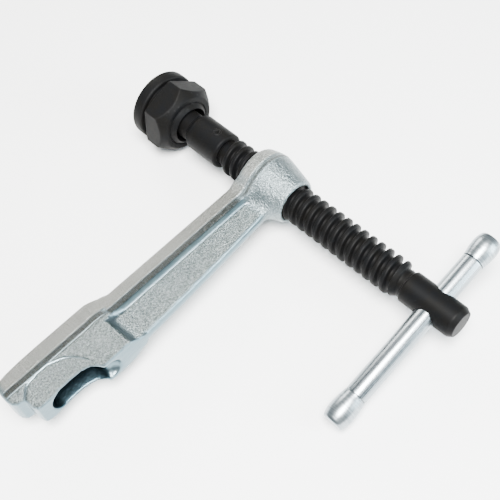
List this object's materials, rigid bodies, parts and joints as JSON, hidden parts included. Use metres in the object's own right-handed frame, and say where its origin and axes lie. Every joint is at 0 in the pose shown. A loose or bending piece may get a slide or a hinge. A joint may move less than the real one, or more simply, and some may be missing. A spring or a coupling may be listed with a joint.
{
  "type": "sliding screw arm for a bar clamp",
  "caption": "Forged clamp arm that slides and tilts on a flat rail, carrying a trapezoidal screw with a sliding tommy bar and a swivelling round pressure pad.",
  "frame": {"origin": "centre of the rail slot, on the mid-plane of the arm, halfway along the slot from front to back", "axes": "+X parallel to the screw, from the pressure pad to the handle, and along the way the rail passes through the slot; +Y from the slot to the threaded boss; +Z normal to the broad face of the arm"},
  "size_m": [0.2354, 0.2365, 0.046],
  "materials": {
    "zinc_forging": "bright zinc plate over a shot-blasted forging",
    "black_thread": "black oxide, lightly oiled",
    "black_turned": "black oxide over turned and milled steel",
    "pin_steel": "dark spring steel",
    "zinc_bar": "bright zinc plate over drawn bar",
    "zinc_cap": "bright zinc plate over turned steel"
  },
  "bodies": {
    "arm": {"arm": "zinc_forging"},
    "swivel": {"swivel_ring": "black_turned"},
    "screw": {"spindle": "black_thread", "ball_stud": "black_turned", "roll_pin": "pin_steel"},
    "handle": {"handle_rod": "zinc_bar", "handle_cap_long": "zinc_cap", "handle_cap_short": "zinc_cap"},
    "pad": {"gland_nut": "black_turned", "pressure_disc": "black_turned"}
  },
  "joints": [
    {"name": "screw_travel", "type": "slide", "parent": "arm", "child": "swivel", "axis": [1, 0, 0], "range_m": [-0.0751, 0.0221]},
    {"name": "screw_turn", "type": "hinge", "parent": "swivel", "child": "screw", "pos_m": [0.0107, 0.1566, 0], "axis": [1, 0, 0], "range_deg": [-4500, 1320]},
    {"name": "handle_slide", "type": "slide", "parent": "screw", "child": "handle", "axis": [0, -0.9826, -0.1857], "range_m": [-0.0525, 0.021]},
    {"name": "pad_tilt", "type": "hinge", "parent": "swivel", "child": "pad", "pos_m": [-0.0797, 0.1566, 0], "axis": [0, 0, 1], "range_deg": [-10, 10]}
  ],
  "couplings": [
    {"joint": "screw_travel", "follows": "screw_turn", "m_per_rad": 0.00095493}
  ]
}
